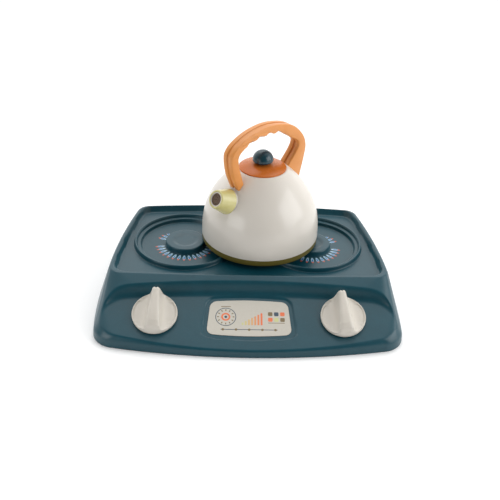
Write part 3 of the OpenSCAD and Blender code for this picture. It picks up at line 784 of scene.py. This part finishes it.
RIM_FALL, DOME_FOOT = 0.7, BASE_H + 0.15
h = np.linspace(DOME_FOOT, SEAT_H - RIM_FALL, 90)
dome_side = np.stack([dome_r(h), h], 1)
h = h[::-1][3:]
dome_inside = np.stack([dome_r(h) - SHELL, h], 1)
body_profile = np.concatenate([
    [[KETTLE_R - SHELL, DOME_FOOT], [KETTLE_R - 0.5, BASE_H + 0.02]], dome_side,
    fillets([(dome_r(SEAT_H - RIM_FALL), SEAT_H - RIM_FALL, 0), (dome_r(SEAT_H) - 0.2, SEAT_H, 0.8),
             (FILLER_R, SEAT_H, 0.5), (FILLER_R, SEAT_H - 2.6, 0)])[1:],
    dome_inside])


def dome_gap(points):
    """How far points in the kettle's own axes stand out of the dome."""
    return np.hypot(points[..., 0], points[..., 1]) - dome_r(points[..., 2])


def rooted(lines, sink=0.4):
    """Lines of points whose ends run into the dome are cut off where they enter it.
    Each inside point moves to its line's crossing, found between its two neighbours."""
    gap = dome_gap(lines) + sink
    out = gap > 0
    first = out.argmax(0)
    last = len(lines) - 1 - out[::-1].argmax(0)
    column = np.arange(lines.shape[1])
    number = np.arange(len(lines))[:, None]
    for near, far, hidden in ((first, np.maximum(first - 1, 0), number < first),
                              (last, np.minimum(last + 1, len(lines) - 1), number > last)):
        a, b = gap[near, column], gap[far, column]
        share = np.where(near == far, 0, a / np.maximum(a - b, 1e-6))[:, None]
        crossing = lines[near, column] + (lines[far, column] - lines[near, column]) * share
        lines = np.where(hidden[..., None], crossing[None], lines)
    return lines


kettle_from_spout = kettle_place.inverted() @ spout_place
a = np.linspace(0, 2 * math.pi, 96, endpoint=False)


def on_spout_lines(profile):
    """A profile about the spout's axis as points in the kettle's axes, one line per angle."""
    r, z = profile[:, :1], profile[:, 1:]
    points = np.stack([r * np.cos(a), r * np.sin(a), z + 0 * a], -1)
    return placed(points.reshape(-1, 3), kettle_from_spout).reshape(len(profile), len(a), 3)


boss_r = SPOUT_BASE_R - 0.6
boss_profile = np.concatenate([
    np.stack([np.full(14, boss_r), np.linspace(-30, -SPOUT_L - 0.3, 14)], 1),
    fillets([(boss_r, -SPOUT_L - 0.2, 0), (boss_r - 0.3, -SPOUT_L, 0), (STUB_R, -SPOUT_L, 0.2),
             (STUB_R, -0.5, 0.2), (BORE_R, -0.5, 0.2), (BORE_R, -12, 0)])])
boss_lines = rooted(on_spout_lines(boss_profile))
boss_part = (placed(boss_lines.reshape(-1, 3), kettle_place),
             grid_faces(len(boss_profile), len(a), wrap=True))
kettle_paint = Paint("cream_kettle_plastic", Coat_Weight=0.35, Coat_Roughness=0.09)
kettle_paint.colours(0.03, (206, 200, 190), (213, 207, 198))
kettle_paint.sheen(0.4, 0.28, 0.38)
waves, grain = kettle_paint.noise(0.05, 1.0), kettle_paint.noise(1.5, 2.0)
kettle_paint.bump(waves * 6 + grain * 0.3, 0.03, 0.5)
add_piece("kettle_dome", [revolve(body_profile, 192, kettle_place), boss_part], "kettle",
          ["kettle_body"], kettle_paint)

# ---------------------------------------------------------------- kettle base
# A separate olive plastic bottom that snaps into the dome's foot. It shows as a 6 mm band
# below the cream, and stands on a ring 6 mm wide round its raised middle.

WALL_R = KETTLE_R - SHELL
base_profile = fillets([
    (0.05, 1.6, 0), (50, 1.6, 0.6), (51.6, 0, 0.6), (KETTLE_R - 0.9, 0, 0.8),
    (KETTLE_R - 0.2, 1.2, 0.8), (KETTLE_R - 0.15, BASE_H, 0.4), (WALL_R - 0.1, BASE_H, 0.1),
    (WALL_R - 0.2, BASE_H + 4, 0.3), (WALL_R - 1.8, BASE_H + 4, 0.3), (WALL_R - 2, BASE_H - 1.2, 0.6),
    (0.05, BASE_H - 1.2, 0)])
olive_paint = Paint("olive_plastic", Specular_IOR_Level=0.3)
olive_paint.colours(0.1, (94, 85, 32), (106, 96, 42))
olive_paint.sheen(1.5, 0.32, 0.44)
olive_paint.bump(olive_paint.noise(2.4, 2.0), 0.02, 0.6)
add_piece("kettle_foot", [revolve(base_profile, 192, kettle_place)], "kettle", ["kettle_base"],
          olive_paint)

# ---------------------------------------------------------------- spout sleeve and strainer
# A lime plastic cone pushed over the spout's tube, 17 mm wide at its mouth, and the brown
# perforated disc just inside it.

sleeve_profile = fillets([
    (STUB_R, -SPOUT_L, 0), (SPOUT_BASE_R - 0.1, -SPOUT_L, 0.4), (SPOUT_R + 0.25, -0.7, 0.6),
    (SPOUT_R - 0.3, 0, 0.7), (STUB_R + 0.5, 0, 0.5), (STUB_R, -0.5, 0.4), (STUB_R, -SPOUT_L, 0)])
lime_paint = Paint("lime_plastic", Coat_Weight=0.3, Coat_Roughness=0.08)
lime_paint.colours(0.2, (196, 188, 122), (206, 198, 138))
lime_paint.sheen(1.5, 0.18, 0.26)
lime_paint.bump(lime_paint.noise(2.0, 2.0), 0.02, 0.5)
add_piece("spout_sleeve", [revolve(sleeve_profile, 96, spout_place)], "kettle", ["kettle_spout"],
          lime_paint)

brown_paint = Paint("brown_plastic", Roughness=0.55)
brown = brown_paint.mix(brown_paint.noise(0.5), srgb(92, 72, 54), srgb(118, 94, 72))
# Between its through holes the disc has a fine moulded mesh of pits 0.9 mm apart, sunk by bump and painted
# near black as painted shade in their hollows
pits = brown_paint.node("TexVoronoi", {}, {
    "Vector": brown_paint.place, "Scale": 1.1, "Randomness": 0.25})
shaded_pit = 1 - brown_paint.step(pits, 0.22, 0.4)
# The pits' near-black over the brown is painted shade
brown_paint.put("Base Color", brown_paint.mix(shaded_pit, brown, srgb(34, 26, 22)))
brown_paint.bump(1 - shaded_pit, 0.25, 0.8)


def repaint(node, paint):
    """A CAD node that stays as it is, in a paint of the scene's own."""
    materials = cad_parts[node].data.materials
    materials.clear()
    materials.append(paint.material)


repaint("spout_strainer", brown_paint)

# ---------------------------------------------------------------- kettle handle
# An orange plastic arch, 12.8 mm thick, with a groove along both narrow faces, finger
# scallops under the grip and a wide foot at the back. Both feet are screwed to the dome.

# The arch's two edges seen from the side: (outwards from the kettle's axis, height)
arch_outside = np.array([
    [29.6, 52], [34, 61], [39, 71.6], [43.5, 83.4], [45.9, 97], [44.3, 104.9], [37, 111.7],
    [21.8, 118.2], [3, 121.3], [-15, 119.8], [-33.7, 113.7], [-47.9, 101], [-53.2, 89],
    [-51.9, 76.5], [-48, 60], [-45.2, 46], [-43.6, 38]], float)
arch_inside = np.array([
    [24, 60], [28.4, 66.6], [33.2, 80], [37.4, 95], [36.2, 102.6], [28.4, 108.2], [17, 111.8], [3, 113],
    [-10, 112], [-20, 109.6], [-31, 102.4], [-41, 95.8], [-43, 91], [-39.6, 84.2], [-31, 74], [-26, 66],
    [-22, 58]], float)
GRIP_FROM, GRIP_TO, FINGERS, FINGER_DEPTH, TOOTH = -19.7, 27.5, 4, 1.8, 0.35
HANDLE_T, GROOVE_W, GROOVE_DEPTH, HANDLE_ROUND = 12.8, 2.8, 1.5, 0.9


def through(points, n):
    """A smooth curve through points: the Catmull-Rom cubic between each two of them."""
    p0, p1, p2, p3 = (points[i:len(points) - 3 + i, None] for i in range(4))
    t = np.linspace(0, 1, n, endpoint=False)[None, :, None]
    return (0.5 * (2 * p1 + t * (p2 - p0) + t ** 2 * (2 * p0 - 5 * p1 + 4 * p2 - p3)
                   + t ** 3 * (3 * p1 - p0 - 3 * p2 + p3))).reshape(-1, 2)


outer_line, inner_line = through(arch_outside, 20), through(arch_inside, 20)
direction = np.gradient(inner_line, axis=0)
direction /= np.linalg.norm(direction, axis=1)[:, None]
under_hand = (inner_line[:, 0] > GRIP_FROM) & (inner_line[:, 0] < GRIP_TO) & (inner_line[:, 1] > 100)
wave = np.abs(np.sin(math.pi * FINGERS * (inner_line[:, 0] - GRIP_FROM) / (GRIP_TO - GRIP_FROM)))
wave = np.maximum(wave - TOOTH, 0) / (1 - TOOTH)
inner_line = inner_line + np.where(under_hand, FINGER_DEPTH * wave, 0)[:, None] * np.stack(
    [direction[:, 1], -direction[:, 0]], 1)
breadth = np.linalg.norm(inner_line - outer_line, axis=1)
towards = (inner_line - outer_line) / breadth[:, None]
half_t, groove = HANDLE_T / 2, GROOVE_W / 2
# One narrow face of the section: (depth below the face, distance across)
lip = np.array([
    (GROOVE_DEPTH, 0.0), (GROOVE_DEPTH, groove * 0.7), (GROOVE_DEPTH * 0.7, groove), (0.35, groove),
    (0.1, groove + 0.1), (0, groove + 0.4), (0, half_t - HANDLE_ROUND), (0.12, half_t - 0.6),
    (0.45, half_t - 0.2), (HANDLE_ROUND, half_t)])
ring_depth = np.concatenate([lip[:, 0], lip[::-1, 0], lip[1:, 0], lip[:0:-1, 0]])
ring_across = np.concatenate([lip[:, 1], lip[::-1, 1], -lip[1:, 1], -lip[:0:-1, 1]])
# The section runs round from the outer face to the inner face and back
n = len(lip)
from_inner = np.concatenate([np.zeros(n), np.ones(2 * n - 1), np.zeros(n - 1)])
distance = np.where(from_inner[None, :] > 0, breadth[:, None] - ring_depth[None, :],
                    ring_depth[None, :])
in_plane = outer_line[:, None] + towards[:, None] * distance[..., None]
across_plane = np.broadcast_to(ring_across, distance.shape)
handle_lines = np.stack([in_plane[..., 0], across_plane, in_plane[..., 1]], -1)
handle_lines = rooted(handle_lines, 0.3)
handle_part = (placed(handle_lines.reshape(-1, 3), kettle_place),
               grid_faces(handle_lines.shape[0], handle_lines.shape[1], wrap=True))
orange_paint = Paint("orange_plastic", Specular_IOR_Level=0.4)
orange_paint.colours(0.12, (211, 136, 66), (220, 148, 80), 3.0)
orange_paint.sheen(1.4, 0.3, 0.42)
orange_paint.bump(orange_paint.noise(1.8, 3.0), 0.03, 0.7)
add_piece("handle_arch", [handle_part], "kettle", ["kettle_handle"], orange_paint,
          closed=True)

# ---------------------------------------------------------------- lid and its knob
# A shallow orange plastic lid with a plug that drops into the filler hole, and a teal knob
# like a flattened ball, screwed on from below.

LID_RISE, LID_T, PLUG_L = 4.2, 1.8, 4.5
PLUG_R = FILLER_R - 0.4


def lid_top(r):
    """Height of the lid's top at a radius, a shallow parabola."""
    return LID_RISE * (1 - (r / LID_R) ** 2) + 1


r = np.linspace(LID_R - 0.5, 0.05, 24)
lid_profile = np.concatenate([
    [[0.05, lid_top(0) - LID_T], [PLUG_R - 1.6, lid_top(PLUG_R) - LID_T], [PLUG_R - 1.5, -PLUG_L],
     [PLUG_R - 0.3, -PLUG_L], [PLUG_R, -0.5], [PLUG_R + 0.05, 0.02], [LID_R - 0.5, 0.0],
     [LID_R - 0.1, 0.15], [LID_R, 0.5], [LID_R - 0.15, 0.95]],
    np.stack([r, lid_top(r)], 1)])
lid_paint = Paint("orange_lid_plastic", Specular_IOR_Level=0.22)
lid_paint.colours(0.12, (182, 97, 32), (196, 110, 44), 3.0)
lid_paint.sheen(1.4, 0.2, 0.32)
waves, grain = lid_paint.noise(0.12, 2.0), lid_paint.noise(1.8, 3.0)
lid_paint.bump(waves * 3 + grain * 0.3, 0.05, 0.7)
lid_place = kettle_place @ at(0, 0, SEAT_H)
add_piece("lid_dish", [revolve(lid_profile, 128, lid_place)], "lid", ["kettle_lid"],
          lid_paint)

# The ball is cut flat 62 degrees below its widest line, where it stands on the lid
BALL_R, BALL_LOW, BALL_HIGH, BALL_CUT = 10.2, 3.1, 9.9, 62
low = np.radians(np.linspace(-BALL_CUT, -3, 16))
high = np.radians(np.linspace(0, 89.6, 24))
ball_profile = np.concatenate([
    [[0.05, -BALL_LOW], [BALL_R * math.cos(low[0]) - 0.4, -BALL_LOW]],
    np.stack([BALL_R * np.cos(low), BALL_LOW / math.sin(math.radians(BALL_CUT)) * np.sin(low)], 1),
    np.stack([BALL_R * np.cos(high), BALL_HIGH * np.sin(high)], 1)])
ball_paint = Paint("teal_knob_plastic")
ball_paint.colours(0.2, (10, 50, 62), (18, 60, 72))
ball_paint.sheen(1.4, 0.18, 0.28)
ball_paint.bump(ball_paint.noise(2.0, 2.0), 0.02, 0.5)
ball_place = lid_place @ at(0, 0, LID_RISE + 1 + BALL_LOW)
add_piece("lid_ball", [revolve(ball_profile, 96, ball_place)], "lid", ["lid_knob"],
          ball_paint)

# ---------------------------------------------------------------- screws
# Zinc-plated steel screws that hold the knobs, the handle's feet and the lid's knob. They go
# in from below or from the kettle's inside, so none shows from above.

steel_paint = Paint("zinc_steel", Metallic=1.0)
steel_paint.colours(0.8, (176, 178, 182), (198, 199, 202))
steel_paint.sheen(2.0, 0.24, 0.42, 3.0)
steel_paint.bump(steel_paint.noise(3.0, 2.0), 0.01, 0.6)
for name in ("left_knob_screw", "right_knob_screw", "handle_screws", "lid_knob_screw"):
    repaint(name, steel_paint)
